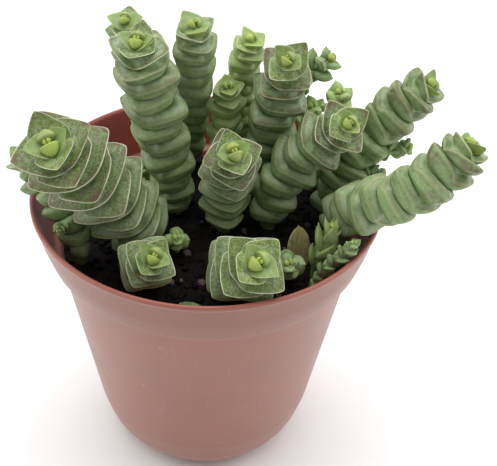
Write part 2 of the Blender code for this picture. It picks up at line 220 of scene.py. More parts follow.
# Growth of a stem from its tip down
FIRST_SEED = 100
PATH_SAMPLES = 240
APEX_SCALE = (0.24, 0.50, 0.70, 0.87, 0.96)
YOUNG_CUP = (0.75, 0.62, 0.44, 0.26, 0.16)
GROWN_CUP = 0.10
TOP_GAP = 1.2
GAP_CHANGE = 4
INNER_PAIRS = 2
SUNK_SHARE = 0.35
FULL_SIZE_FROM = 0.35
LOWER_SHRINK = 0.1
LOWEST_PAIR = 2.8
LOWEST_UNDER = 0.2
STALK_SHARE = 0.27
STALK_LEAST = 1.1
ROOT_DEPTH = 3.0

# Skin of a stem: steps run from the crease between two pairs to the margin
FINE_STEPS = (0.0, 0.24, 0.45, 0.62, 0.76, 0.87, 0.94, 0.975, 0.992, 1.0)
PLAIN_STEPS = (0.0, 0.32, 0.58, 0.78, 0.91, 0.975, 1.0)
FINE_SIDES = 64
PLAIN_SIDES = 40
CLUSTER = 0.6
AXIL_SHARE = 0.46
NEXT_AXIL_SHARE = 0.62
TOP_AXIL_SHARE = 0.30
TOP_ROOM = 0.5
SLIT = 0.10
SLIT_OPEN_BY = 0.7
SLIT_FADE = 0.8
TINY = 1e-6
CAP_RISE = 0.1
LOOSE_SKIN = 0.70

# Shape of a leaf pair when young and when grown, in shares of its reach or gap
GROWN_FROM = 0.4
GROWN_BY = 1.5
TIP_POWER = (1.27, 1.40)
CLEFT_DEPTH = (0.24, 0.17)
CLEFT_DROP = (0.14, 0.15)
CLEFT_WIDTH = 0.30
CUP_POWER = 1.3
SURFACE_POWER = 1.7
UPPER_THICKNESS = (0.16, 0.30)
UNDER_THICKNESS = (0.84, 0.86)
FULLNESS = (3.4, 4.0)
BLUNTNESS = (0.66, 0.56)
BEAK = 0.6
BEAK_POWER = 8
BEAK_BLUNTER = 0.30
BEAK_LEANER = 0.9

# Small differences between leaves
FIRST_PAIRS = 3
TURN_DEGREES = (1.0, 2.5)
LEAF_BLEND = 0.3
SIZE_VARIES = 0.03
LIFT_VARIES = (0.04, 0.08)
EDGE_WAVES = (0.012, 0.007)
TONE_MIDDLE = 0.5
TONE_VARIES = 0.22

# Single leaves
LEAF_SIDES = 28
LEAF_RINGS = 16
RING_POWER = 0.9
SWELL_START = 0.22
SWELL_LENGTH = 0.80
SWELL_LEAST = 0.06
DEPTH_POWER = 0.8
DISH_RISE = 0.55
DISH_EDGE = 1.2
UPPER_SOFTNESS = 2.0
FAR_FROM_RIM = 9.0

# Bud: layers have a scale, turn, rise and distance out, and leaves a depth, width and height
BUD_REACH = 2.6
BUD_LAYERS = ((1.0, 0.0, 0.0, 0.10), (0.33, math.pi / 2, 0.38, 0.05))
BUD_TONES = (0.85, 0.15)
BUD_TURN_DEGREES = 5
BUD_SIZE_VARIES = 0.05
LOBE_SIZE = (0.92, 0.86, 0.72)
LOBE_BACK = 0.22
LOBE_POINT = 0.30
LOBE_ROUNDING = (2.0, 2.6)
LOBE_LEAN = 0.18
LOBE_DROOP = 0.25
LOBE_CROWN = 0.36
LOBE_UPPER_FROM = 0.9

# Separate leaves of a young shoot, in shares of their reach
LOOSE_LEAST = 0.62
LOOSE_TURN_DEGREES = 8
LOOSE_SIZE_VARIES = 0.06
LOOSE_RISE_VARIES = 0.10
LOOSE_BASE = (-0.25, 0.10)
LOOSE_KNEE = (-0.05, 0.75)
LOOSE_KNEE_RISE = 0.2
LOOSE_TIP_OUT = 0.98
LOOSE_HALF_WIDTH = 0.56
LOOSE_HALF_DEPTH = 0.34
LOOSE_DISH = 0.25
LOOSE_RIPE = 2.0
CROWD_HOLD = 0.85
CROWD_FACING = (0.2, 0.7)

# Fallen leaves
DRY_LEAF = dict(base=(21.5, -12.5, 61.0), knee=(21.9, -12.3, 68.0), tip=(21.2, -13.5, 76.0),
                across=(math.cos(0.17), math.sin(0.17), 0), half_width=2.9, half_depth=1.0, dish=0.6,
                taper=0.30, blunt=12)
GREEN_LEAF = dict(base=(-6.4, -28.7, 63.6), knee=(-3.0, -29.2, 64.2), tip=(0.4, -29.8, 63.9),
                  across=(0.17, 0.98, 0), half_width=1.9, half_depth=1.0)


def unit(vector):
    """The vector at length one."""
    return vector / np.linalg.norm(vector)


def smooth(value, low, high):
    """Smooth step from 0 at low to 1 at high."""
    share = np.clip((value - low) / (high - low), 0.0, 1.0)
    return share * share * (3 - 2 * share)


def between(values, grown):
    """Value for a pair that is partly grown, from its young and its grown value."""
    return values[0] + (values[1] - values[0]) * grown


def tip_direction(plan):
    """Direction in which the growing tip points."""
    lean, heading = math.radians(plan["lean"]), math.radians(plan["heading"])
    flat = math.sin(lean)
    return np.array((flat * math.cos(heading), flat * math.sin(heading), math.cos(lean)))


def stem_path(plan):
    """Middle line of a stem, with the length run, direction and two cross directions."""
    root = plan["root"]
    start = np.array(root if len(root) == 3 else (*root, SOIL_TOP), float)
    end = np.array(plan["tip"], float)
    first = start + np.array((0, 0, plan["rise"]), float)
    second = end - plan["run"] * tip_direction(plan)
    share = np.linspace(0, 1, PATH_SAMPLES)[:, None]
    left = 1 - share
    line = (left ** 3 * start + 3 * left ** 2 * share * first + 3 * left * share ** 2 * second
            + share ** 3 * end)
    run = np.concatenate(((0.0,), np.cumsum(np.linalg.norm(np.diff(line, axis=0), axis=1))))
    along = np.gradient(line, run, axis=0)
    along /= np.linalg.norm(along, axis=1)[:, None]
    turn = math.radians(plan["turn"])
    across = np.array((math.cos(turn), math.sin(turn), 0.0))
    side = np.zeros_like(line)
    for index in range(PATH_SAMPLES - 1, -1, -1):
        across = unit(across - along[index] * (along[index] @ across))
        side[index] = across
    return dict(line=line, run=run, along=along, side=side, other=np.cross(along, side))


def place(path, at, out, angle):
    """Points at a length along the stem, a distance out and an angle round it."""
    at, out, angle = np.broadcast_arrays(at, out, angle)
    inside = np.clip(at, 0.0, path["run"][-1])

    def read(key):
        return np.stack([np.interp(inside, path["run"], path[key][:, k]) for k in range(3)], axis=-1)

    beyond = (at - inside)[..., None]
    flat = read("side") * np.cos(angle)[..., None] + read("other") * np.sin(angle)[..., None]
    return read("line") + read("along") * beyond + flat * out[..., None]


def outward(path, at, angle):
    """Direction straight out of a stem at a length and an angle."""
    return place(path, at, 1.0, angle) - place(path, at, 0.0, angle)


def apex_size(plan, index):
    """Share of the full size that a pair has, less than 1 for the youngest ones."""
    if index >= len(APEX_SCALE):
        return 1.0
    return APEX_SCALE[index] ** (plan["spread"] if index else 1)


def leaf_pairs(plan, whole):
    """Leaf pairs from the tip down: place along the stem, reach and gap to the next one."""
    pairs = []
    below = 0.0
    while whole - below > LOWEST_PAIR:
        index = len(pairs)
        at = whole - below
        grown = plan["young"] + (1 - plan["young"]) * at / (FULL_SIZE_FROM * whole)
        share = apex_size(plan, index) * min(1.0, grown) * (1 - LOWER_SHRINK * below / whole)
        reach = plan["reach"] * share
        if 0 < index < len(APEX_SCALE):
            reach *= APEX_SCALE[index] ** -plan["wide"]
        if index < INNER_PAIRS:
            reach *= plan["inner"]
        gap = plan["gap" if index < GAP_CHANGE else "grown"] * share * (TOP_GAP if index == 0 else 1.0)
        sunk = plan["sunk"] * reach * SUNK_SHARE if index == 1 else 0.0
        pairs.append(dict(index=index, at=at - sunk, reach=reach, gap=gap))
        below += gap
    return pairs


def even_angles(sides):
    """Angles round the stem, closer together where tips and clefts lie."""
    quarter = np.arange(sides // 4) / (sides // 4)
    eased = quarter - CLUSTER * np.sin(2 * math.pi * quarter) / (2 * math.pi)
    return np.concatenate([(turn + eased) * math.pi / 2 for turn in range(4)])


def tip_outline(angle, waist, power):
    """Share of the reach at an angle from the leaf tip: a diamond with full sides and soft corners."""
    along, across = np.abs(np.cos(angle)), np.abs(np.sin(angle)) / waist
    return (along ** power + across ** power) ** (-1 / power)


def pair_cup(plan, index):
    """How far a pair's tips curve up."""
    return YOUNG_CUP[index] * plan["cupped"] if index < len(YOUNG_CUP) else GROWN_CUP


def shape_pair(pair, plan, angles, draw):
    """Edge and height of one pair at every angle, with small drawn differences between leaves."""
    index, reach = pair["index"], pair["reach"]
    local = angles - (math.pi / 2 if index % 2 == 1 else 0.0) - math.radians(plan["twist"] * index)
    local -= math.radians(draw.normal(0, TURN_DEGREES[int(index >= FIRST_PAIRS)]))
    stout = plan["stout"] or plan["crisp"]
    grown = float(smooth(index, GROWN_FROM * stout, GROWN_BY * stout + 1.0))
    toward = np.cos(local)
    outline = tip_outline(local, plan["waist"], between(TIP_POWER, grown))
    cleft = np.exp(-(toward / CLEFT_WIDTH) ** 2)
    differ = draw.normal(0, 1, 6)
    first, second = (smooth(way, -LEAF_BLEND, LEAF_BLEND) for way in (toward, -toward))
    leaf = first * differ[0] + second * differ[1]
    edge = reach * outline * (1 - between(CLEFT_DEPTH, grown) * cleft) * (1 + SIZE_VARIES * leaf)
    edge *= (1 + EDGE_WAVES[0] * np.sin(3 * local + differ[4] * 3)
             + EDGE_WAVES[1] * np.sin(7 * local + differ[5] * 3))
    at_tip = outline * np.abs(toward)
    height = pair_cup(plan, index) * reach * at_tip ** CUP_POWER
    height += between(LIFT_VARIES, grown) * reach * (first * differ[2] + second * differ[3]) * at_tip
    height -= between(CLEFT_DROP, grown) * reach * cleft
    return dict(pair, edge=edge, height=height, grown=grown, leaf=leaf, toward=toward, fat=plan["fat"],
                ripe=index / plan["crisp"], beak=BEAK * np.abs(toward) ** BEAK_POWER)


def bulge(pair, share):
    """Thickness at a share of the way out: round at the edge, thinner at a young tip."""
    beak = pair["beak"] * (1 - pair["grown"])
    blunt = between(BLUNTNESS, pair["grown"]) + BEAK_BLUNTER * beak
    full = between(FULLNESS, pair["grown"]) - BEAK_LEANER * beak
    return np.maximum(1 - np.clip(share, 0, 1) ** full, 0.0) ** blunt


def natural_top(pair, out, room):
    """Upper surface of a pair at a distance out, with room up to the next pair."""
    share = np.clip(out / pair["edge"], 0.0, 1.0)
    thick = room * between(UPPER_THICKNESS, pair["grown"])
    return pair["at"] + pair["height"] * share ** SURFACE_POWER + thick * bulge(pair, share)


def natural_under(pair, out):
    """Lower surface of a pair at a distance out."""
    share = np.clip(out / pair["edge"], 0.0, 1.0)
    thick = pair["gap"] * between((UNDER_THICKNESS[0] * pair["fat"], UNDER_THICKNESS[1]), pair["grown"])
    return pair["at"] + pair["height"] * share ** SURFACE_POWER - thick * bulge(pair, share)


def slit_between(low, high, out, axil):
    """How far the surfaces of two neighbours must be pushed apart at a distance out."""
    near = np.minimum(low["edge"], high["edge"])
    where = np.minimum(out, near)
    opening = SLIT * smooth((where - axil) / (near - axil + TINY), 0.0, SLIT_OPEN_BY)
    clash = natural_top(low, where, high["gap"]) - natural_under(high, where) + opening
    fade = np.exp(-np.maximum(out - near, 0.0) / SLIT_FADE)
    return np.maximum(clash, 0.0) / 2 * fade


def axil_radius(low, high):
    """Radius of the crease between two pairs."""
    return min(AXIL_SHARE * low["reach"], NEXT_AXIL_SHARE * high["reach"])


def skin_row(pair, at, out, upper):
    """One row of the skin with its point values; upper is 1 on top of a leaf and 0 under it."""
    even = np.ones(len(pair["edge"]))
    rim = np.hypot(pair["edge"] - out, pair["at"] + pair["height"] - at)
    toward = out * np.abs(pair["toward"]) / pair["reach"]
    return dict(at=at * even, out=out * even, age=float(pair["index"]), ripe=pair["ripe"], rim=rim,
                upper=upper, tipward=toward, leaf=pair["leaf"])


def under_rows(low, pair, steps, stalk):
    """Rows from the crease over the pair below, or from the stalk, out to near the margin."""
    axil = axil_radius(low, pair) if low else stalk
    rows = []
    for step in (steps[1:-1] if low else steps[:-1]):
        out = axil + (pair["edge"] - axil) * step
        at = natural_under(pair, out)
        if low:
            at = at + slit_between(low, pair, out, axil)
        else:
            at = np.maximum(at, LOWEST_UNDER)
        rows.append(skin_row(pair, at, out, 0.0))
    return rows


def upper_rows(pair, high, steps):
    """Rows from near the margin in to the crease under the pair above, or to the bud."""
    axil = axil_radius(pair, high) if high else TOP_AXIL_SHARE * pair["reach"]
    room = high["gap"] if high else pair["gap"] * TOP_ROOM
    rows = []
    for step in steps[-2::-1]:
        out = axil + (pair["edge"] - axil) * step
        at = natural_top(pair, out, room)
        if high:
            at = at - slit_between(pair, high, out, axil)
        rows.append(skin_row(pair, at, out, 1.0))
    return rows


def skin_rows(plan, path, draw):
    """Rows of a stem's skin from the root up to the second youngest pair, and the bud's pair."""
    sides, steps = (FINE_SIDES, FINE_STEPS) if plan["fine"] else (PLAIN_SIDES, PLAIN_STEPS)
    angles = even_angles(sides)
    pairs = [shape_pair(pair, plan, angles, draw) for pair in leaf_pairs(plan, path["run"][-1])]
    if plan["lift"]:
        for pair in pairs:
            pair["edge"] *= LOOSE_SKIN
    skin = pairs[:0:-1]
    stalk = max(STALK_LEAST, STALK_SHARE * plan["reach"])
    rows = []
    if "host" not in plan:
        rows.append(skin_row(skin[0], -ROOT_DEPTH, stalk, 0.0))
    rows.append(skin_row(skin[0], 0.0, stalk, 0.0))
    for low, pair, high in zip([None, *skin], skin, [*skin[1:], None]):
        rows += under_rows(low, pair, steps, stalk)
        rows.append(skin_row(pair, pair["at"] + pair["height"], pair["edge"], 0.5))
        rows += upper_rows(pair, high, steps)
    return rows, angles, pairs[0]


class Skin:
    """Points, faces and point values of one mesh made of closed bodies."""

    VALUES = ("age", "ripe", "rim", "upper", "tipward", "tone", "blush")

    def __init__(self):
        self.points, self.faces, self.count = [], [], 0
        self.values = {name: [] for name in self.VALUES}

    def add(self, points, faces, **values):
        """One closed body."""
        points = np.asarray(points, float)
        self.faces += [tuple(index + self.count for index in face) for face in faces]
        self.points.append(points)
        self.count += len(points)
        for name in self.VALUES:
            self.values[name].append(np.broadcast_to(values[name], len(points)).astype(np.float32))

    def build(self, name, material, slot, node):
        """Make the mesh object, riding on the root body in place of its node."""
        mesh = bpy.data.meshes.new(name)
        mesh.from_pydata((np.concatenate(self.points) * MM).tolist(), [], self.faces)
        for value in self.VALUES:
            layer = mesh.attributes.new(value, "FLOAT", "POINT")
            layer.data.foreach_set("value", np.concatenate(self.values[value]))
        mesh.materials.append(material)
        mesh.shade_smooth()
        mesh.update()
        settle(bpy.data.objects.new(name, mesh), node)


def settle(piece, node):
    """Link a piece to the scene and the root body, and hide the node that it stands in for."""
    bpy.context.scene.collection.objects.link(piece)
    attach(piece, "root")
    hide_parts(node)
    return piece


def tube_faces(rings, sides):
    """Faces of a closed skin: point 0, the rings, and one point over the last."""
    last = 1 + rings * sides
    faces = []
    for side in range(sides):
        after = (side + 1) % sides
        faces.append((0, 1 + after, 1 + side))
        for level in range(rings - 1):
            low = 1 + level * sides
            high = low + sides
            faces.append((low + side, low + after, high + after, high + side))
        top = last - sides
        faces.append((top + side, top + after, last))
    return faces


def add_skin(body, plan, path, draw):
    """The continuous skin of a stem, from the root to under the bud."""
    rows, angles, bud = skin_rows(plan, path, draw)
    rings = [place(path, row["at"], row["out"], angles) for row in rows]
    cap = place(path, np.mean(rows[-1]["at"]) + CAP_RISE * bud["reach"], 0.0, 0.0)
    foot = rings[0].mean(axis=0)
    points = np.concatenate([foot[None], *rings, cap[None]])

    def spread(key):
        flat = [np.broadcast_to(row[key], len(angles)) for row in rows]
        return np.concatenate([flat[0][:1], *flat, flat[-1][:1]])

    values = {key: spread(key) for key in ("age", "ripe", "rim", "upper", "tipward")}
    tone = TONE_MIDDLE + TONE_VARIES * spread("leaf")
    body.add(points, tube_faces(len(rings), len(angles)), tone=tone, blush=plan["blush"], **values)
    return bud


def leaf_swell(share, taper, blunt):
    """Share of the full width at a share of a single leaf's length."""
    round_part = math.sin(math.pi * min(1.0, SWELL_START + share * SWELL_LENGTH)) ** taper
    return max(round_part * (1 - share ** blunt), SWELL_LEAST)


def add_leaf(body, base, knee, tip, across, half_width, half_depth,
             dish=0.35, taper=0.62, blunt=6, **values):
    """One thick leaf along a bent middle line, blunt below and pointed at the tip."""
    base, knee, tip = (np.array(point, float) for point in (base, knee, tip))
    across = unit(np.array(across, float))
    shares = ((np.arange(LEAF_RINGS) + 0.5) / LEAF_RINGS) ** RING_POWER
    angle = 2 * math.pi * np.arange(LEAF_SIDES) / LEAF_SIDES
    up = np.sin(angle)
    rings, rims, uppers = [], [], []
    for share in shares:
        middle = (1 - share) ** 2 * base + 2 * share * (1 - share) * knee + share * share * tip
        along = unit(2 * (1 - share) * (knee - base) + 2 * share * (tip - knee))
        wide = unit(across - along * (across @ along))
        deep = np.cross(wide, along)
        swell = leaf_swell(share, taper, blunt)
        width, depth = half_width * swell, half_depth * swell ** DEPTH_POWER
        x = width * np.cos(angle)
        z = np.where(up > 0, up * depth * (1 - dish), up * depth)
        z = z + dish * DISH_RISE * depth * (np.cos(angle) ** 2) * DISH_EDGE
        rings.append(middle + x[:, None] * wide + z[:, None] * deep)
        rims.append(np.abs(up) * depth + (1 - np.abs(np.cos(angle))) * width)
        uppers.append(np.clip(0.5 + up * UPPER_SOFTNESS, 0, 1))
    points = np.concatenate([base[None], *rings, tip[None]])
    rim = np.concatenate([[FAR_FROM_RIM], *rims, [0.0]])
    upper = np.concatenate([[0.0], *uppers, [0.5]])
    tipward = np.concatenate([[0.0], np.repeat(shares, LEAF_SIDES), [1.0]])
    body.add(points, tube_faces(LEAF_RINGS, LEAF_SIDES), rim=rim, upper=upper, tipward=tipward, **values)


def add_lobe(body, middle, facing, across, up, deep, wide, high, **values):
    """One fat young leaf, flat toward its twin, pointed outward and domed on top."""
    angle = 2 * math.pi * np.arange(LEAF_SIDES) / LEAF_SIDES
    front = np.maximum(np.cos(angle), 0.0)
    x = np.where(np.cos(angle) > 0, np.cos(angle), LOBE_BACK * np.cos(angle)) * deep
    y = np.sin(angle) * (1 - LOBE_POINT * front ** 2) * wide
    rings, uppers = [], []
    for share in (np.arange(LEAF_RINGS) + 0.5) / LEAF_RINGS:
        level = 1 - math.cos(math.pi * share)
        size = max(0.0, 1 - abs(level - 1) ** LOBE_ROUNDING[int(level >= 1)]) ** 0.5
        rise = (level - 1) * high
        lean = LOBE_LEAN * deep * level
        droop = LOBE_DROOP * high * front * size if level > 1 else 0.0
        flat = (x * size + lean)[:, None] * facing + (y * size)[:, None] * across
        rings.append(middle + flat + ((rise - droop) * np.ones(LEAF_SIDES))[:, None] * up)
        uppers.append(np.full(LEAF_SIDES, float(level > LOBE_UPPER_FROM)))
    top = middle + LOBE_CROWN * deep * facing + high * up
    points = np.concatenate([(middle - high * up)[None], *rings, top[None]])
    upper = np.concatenate([[0.0], *uppers, [1.0]])
    body.add(points, tube_faces(LEAF_RINGS, LEAF_SIDES), age=0.0, ripe=0.0, rim=FAR_FROM_RIM, upper=upper,
             tipward=0.0, **values)


def add_bud(body, plan, path, bud, draw):
    """The two chubby youngest leaves and the tiny pair that shows in the cleft between them."""
    size = min(BUD_REACH, bud["reach"])
    for scale, turned, rise, out in BUD_LAYERS:
        for number, facing in enumerate((0.0, math.pi)):
            angle = facing + turned + math.radians(draw.normal(0, BUD_TURN_DEGREES))
            middle = place(path, bud["at"] + (rise - plan["sunk"]) * size, out * size * scale, angle)
            up = place(path, bud["at"] + 1.0, 0.0, 0.0) - place(path, bud["at"], 0.0, 0.0)
            front = outward(path, bud["at"], angle)
            reach = size * scale * (1 + BUD_SIZE_VARIES * draw.normal())
            deep, wide, high = (share * reach for share in LOBE_SIZE)
            tone = BUD_TONES[number] if scale == 1.0 else 0.0
            add_lobe(body, middle, front, np.cross(up, front), up, deep, wide, high, tone=tone,
                     blush=plan["blush"])


def held_back(plan, path, at, angle):
    """Share of its spread that a separate leaf keeps where it faces a neighbouring stem."""
    if plan["crowd"] is None:
        return 1.0
    facing = outward(path, at, angle)
    side = math.radians(plan["crowd"])
    nearness = smooth(facing[0] * math.cos(side) + facing[1] * math.sin(side), *CROWD_FACING)
    return 1.0 - CROWD_HOLD * float(nearness)


def add_loose_leaves(body, plan, path, draw):
    """Separate upright leaves round the thin skin of a young shoot."""
    for pair in leaf_pairs(plan, path["run"][-1])[slice(*plan["loose"])]:
        index, at = pair["index"], pair["at"]
        turned = (math.pi / 2 if index % 2 else 0.0) + math.radians(plan["twist"] * index)
        for facing in (0.0, math.pi):
            angle = facing + turned + math.radians(draw.normal(0, LOOSE_TURN_DEGREES))
            reach = max(pair["reach"], LOOSE_LEAST * plan["reach"])
            reach *= 1 + LOOSE_SIZE_VARIES * draw.normal()
            rise = plan["lift"] * reach * (1 + LOOSE_RISE_VARIES * draw.normal())
            held = held_back(plan, path, at, angle)
            base = place(path, at + LOOSE_BASE[0] * reach, LOOSE_BASE[1] * reach, angle)
            knee = place(path, at + LOOSE_KNEE[0] * reach + LOOSE_KNEE_RISE * rise,
                         LOOSE_KNEE[1] * reach * held, angle)
            tip = place(path, at + rise, LOOSE_TIP_OUT * reach * held, angle)
            across = outward(path, at, angle + math.pi / 2)
            add_leaf(body, base, knee, tip, across, LOOSE_HALF_WIDTH * reach, LOOSE_HALF_DEPTH * reach,
                     dish=LOOSE_DISH, age=index + 0.5, ripe=LOOSE_RIPE, tone=draw.uniform(),
                     blush=plan["blush"])


def make_stem(plan, material, seed):
    """One stem with its bud and its side shoots."""
    draw = np.random.default_rng(seed)
    body = Skin()
    for part in (plan, *(shoot for shoot in SIDE_SHOOTS if shoot["host"] == plan["name"])):
        path = stem_path(part)
        bud = add_skin(body, part, path, draw)
        add_bud(body, part, path, bud, draw)
        if part["lift"]:
            add_loose_leaves(body, part, path, draw)
    body.build(plan["name"] + "_leaves", material, "leaf_green", plan["name"])


def linear(value):
    """Linear light from a screen value of 0 to 255."""
    share = value / 255
    return share / 12.92 if share <= 0.04045 else ((share + 0.055) / 1.055) ** 2.4


def screen(red, green, blue):
    """Colour from screen values."""
    return (linear(red), linear(green), linear(blue), 1.0)


def in_metres(limits):
    """Two limits in millimetres as metres."""
    return limits[0] * MM, limits[1] * MM


MIX_A, MIX_B, MIX_RESULT = 6, 7, 2


class Nodes:
    """Short names for the node set-ups that the materials share."""

    def __init__(self, name):
        self.material = bpy.data.materials.new(name)
        self.material.use_nodes = True
        self.tree = self.material.node_tree
        self.shader = self.tree.nodes["Principled BSDF"]
        self.where = self.new("ShaderNodeTexCoord").outputs["Object"]

    def new(self, kind, **settings):
        """A new node with its settings."""
        node = self.tree.nodes.new(kind)
        for key, value in settings.items():
            setattr(node, key, value)
        return node

    def put(self, value, socket):
        """Link a socket or set a value."""
        if isinstance(value, bpy.types.NodeSocket):
            self.tree.links.new(value, socket)
        else:
            socket.default_value = value

    def look(self, name, value):
        """Set one input of the shader."""
        self.put(value, self.shader.inputs[name])

    def value(self, name):
        """A point value of the mesh."""
        return self.new("ShaderNodeAttribute", attribute_name=name).outputs["Fac"]

    def noise(self, size_mm, detail=2.0, rough=0.5, stretch=None):
        """Noise with features of a size in millimetres, 0 to 1."""
        node = self.new("ShaderNodeTexNoise")
        for name, value in (("Scale", 1.0 / (size_mm * MM)), ("Detail", detail), ("Roughness", rough)):
            node.inputs[name].default_value = value
        where = self.where
        if stretch:
            scale = self.new("ShaderNodeMapping")
            scale.inputs["Scale"].default_value = stretch
            self.put(where, scale.inputs["Vector"])
            where = scale.outputs["Vector"]
        self.put(where, node.inputs["Vector"])
        return node.outputs["Fac"]

    def step(self, value, low, high, start=0.0, end=1.0):
        """Smooth step of a value."""
        node = self.new("ShaderNodeMapRange", interpolation_type="SMOOTHSTEP")
        for name, number in (("Value", value), ("From Min", low), ("From Max", high), ("To Min", start),
                             ("To Max", end)):
            self.put(number, node.inputs[name])
        return node.outputs["Result"]

    def math(self, operation, first, second):
        """Two values through a sum, product or the like."""
        node = self.new("ShaderNodeMath", operation=operation)
        self.put(first, node.inputs[0])
        self.put(second, node.inputs[1])
        return node.outputs["Value"]

    def product(self, *values):
        """All the values multiplied."""
        result = values[0]
        for value in values[1:]:
            result = self.math("MULTIPLY", result, value)
        return result

    def mix(self, share, first, second):
        """Two colours mixed."""
        node = self.new("ShaderNodeMix", data_type="RGBA")
        self.put(share, node.inputs["Factor"])
        self.put(first, node.inputs[MIX_A])
        self.put(second, node.inputs[MIX_B])
        return node.outputs[MIX_RESULT]

    def bump(self, height, strength, depth_mm):
        """Fine relief on the shader's normal."""
        node = self.new("ShaderNodeBump")
        node.inputs["Strength"].default_value = strength
        node.inputs["Distance"].default_value = depth_mm * MM
        self.put(height, node.inputs["Height"])
        self.look("Normal", node.outputs["Normal"])


def leaf_values(m):
    """Point values and noises that the leaf's colours share."""
    v = SimpleNamespace(**{name: m.value(name) for name in Skin.VALUES})
    v.broad, v.middle, v.fine = m.noise(5.0, 3.0), m.noise(1.3, 3.0, 0.6), m.noise(0.50, 3.0, 0.7)
    return v


def leaf_ground(m, v):
    """Ground colour: lime bud, green head and paler old leaves, with darker patches; the head's dark olive
    undersides are partly painted shade.
    """
    bud = m.mix(v.tone, screen(154, 172, 78), screen(168, 182, 116))
    top = m.mix(m.step(v.age, 0.2, 1.2), bud, screen(136, 160, 92))
    top = m.mix(m.step(v.age, 1.5, 3.5), top, screen(114, 136, 76))
    top = m.mix(m.step(v.ripe, 0.35, 1.1), top, screen(132, 158, 104))
    # Undersides: dark olive on the head's pairs, partly own colour and partly painted shade of the folds
    # between leaves
    under = m.mix(m.step(v.age, 0.5, 2.5), screen(152, 174, 78), screen(92, 112, 58))
    under = m.mix(m.step(v.ripe, 0.5, 1.4), under, screen(132, 160, 102))
    colour = m.mix(v.upper, under, top)
    patch = m.math("ADD", v.middle, m.product(v.tone, 0.3))
    return m.mix(m.step(patch, 0.45, 0.95, 0.0, 0.45), colour, screen(70, 94, 40))


def leaf_bloom(m, v, colour):
    """Bloom in young folds and on old cushions, dark speckles, silver flecks, and painted shade deep in the
    creases.
    """
    tuck = m.product(m.step(v.rim, 0.9, 2.2), m.step(v.age, 0.6, 1.2), m.step(v.ripe, 1.2, 0.7), v.upper)
    tuck = m.product(tuck, m.step(v.middle, 0.40, 0.62), 0.55)
    colour = m.mix(tuck, colour, screen(176, 190, 160))
    cushion = m.product(m.step(v.rim, 0.5, 1.3), m.step(v.rim, 3.2, 2.0), m.step(v.ripe, 0.6, 1.3))
    cushion = m.product(cushion, m.step(v.upper, 0.0, 1.0, 0.45, 1.0), m.step(v.broad, 0.30, 0.58), 0.75)
    colour = m.mix(cushion, colour, screen(174, 192, 158))
    not_bud = m.step(v.age, 0.8, 2.0)
    speckle = m.product(m.step(v.fine, 0.50, 0.60), not_bud, m.step(v.ripe, 1.6, 0.8, 0.35, 1.0), 0.62)
    colour = m.mix(speckle, colour, screen(66, 78, 40))
    silver = m.product(m.step(v.fine, 0.45, 0.34), not_bud, m.step(v.ripe, 1.6, 0.8, 0.3, 1.0), 0.58)
    colour = m.mix(silver, colour, screen(172, 190, 126))
    # Painted shade: dark olive far in from the margin, deep in the crease under the pair above
    painted_crease_shade = m.product(m.step(v.rim, 2.0, 4.0), m.step(v.ripe, 0.4, 1.2), 0.42)
    return m.mix(painted_crease_shade, colour, screen(48, 68, 32))


def leaf_blush(m, v, colour):
    """Purple-brown blush near tips and margins, and duller tops of old leaves."""
    near_tip = m.product(m.step(v.tipward, 0.45, 1.0), m.step(v.middle, 0.30, 0.62),
                         m.step(v.age, 1.2, 2.6))
    near_rim = m.product(m.step(v.rim, 1.6, 0.1), m.step(v.age, 1.5, 2.8), m.step(v.middle, 0.2, 0.6), 0.6)
    fresh = m.math("MAXIMUM", m.step(v.ripe, 1.5, 0.6, 0.20, 1.0), m.step(v.age, 7.0, 3.5, 0.20, 1.0))
    flush = m.product(m.math("MAXIMUM", near_tip, near_rim), v.blush, fresh, 0.85)
    old_top = m.product(m.step(v.upper, 0.3, 0.8), m.step(v.ripe, 0.8, 1.6), m.step(v.rim, 2.6, 0.6))
    old_top = m.product(old_top, m.math("MINIMUM", v.blush, 0.8), m.step(v.broad, 0.38, 0.62), 0.55)
    colour = m.mix(old_top, colour, screen(140, 134, 98))
    return m.mix(flush, colour, screen(104, 82, 66))


def leaf_margin(m, v, colour):
    """Soft pale band along old margins and a thin, broken pale line along young ones."""
    band = m.product(m.step(v.rim, 0.7, 0.15), m.step(v.ripe, 0.8, 1.4), 0.30)
    colour = m.mix(band, colour, screen(156, 172, 124))
    line = m.product(m.step(v.rim, 0.26, 0.13), m.step(v.age, 0.6, 2.4, 0.30, 1.0),
                     m.step(v.ripe, 1.9, 0.9, 0.12, 1.0), m.step(v.broad, 0.35, 0.55, 0.50, 1.0), 0.85)
    return m.mix(line, colour, screen(206, 206, 176))


def leaf_material(name, paleness):
    """Waxy leaf skin; paleness makes all of it paler and yellower, partly own tone and partly painted
    light.
    """
    m = Nodes(name)
    v = leaf_values(m)
    colour = leaf_bloom(m, v, leaf_ground(m, v))
    colour = leaf_margin(m, v, leaf_blush(m, v, colour))
    if paleness:
        # Paler, yellower copy: partly own tone, partly painted light on small stems in the shade of the
        # others
        colour = m.mix(paleness, colour, screen(186, 208, 118))
    m.look("Base Color", colour)
    m.look("Roughness", m.step(v.middle, 0.3, 0.7, 0.40, 0.55))
    m.look("Specular IOR Level", 0.35)
    m.bump(m.math("ADD", m.product(v.middle, 0.6), m.product(v.fine, 0.4)), 0.35, 0.12)
    return m.material


def inner_shade_mask(m, across, along, height):
    """Where shade is painted: 1 on the inside of the collar and under the neck, 0 elsewhere."""
    out = m.math("POWER", m.math("ADD", m.product(across, across), m.product(along, along)), 0.5)
    above_foot = m.math("SUBTRACT", height, COLLAR_FOOT * MM)
    wall = m.math("ADD", m.product(above_foot, COLLAR_SLOPE), INNER_EDGE * MM)
    inside = m.step(m.math("SUBTRACT", wall, out), *in_metres((-EDGE_BLEND, EDGE_BLEND)))
    collar = m.product(inside, m.step(height, *in_metres(INSIDE_TINT)))
    within_neck = m.step(out, *in_metres((NECK_EDGE, NECK_EDGE - NECK_BLEND)))
    neck = m.product(within_neck, m.step(height, *in_metres(NECK_TINT)))
    return m.math("MAXIMUM", collar, neck)


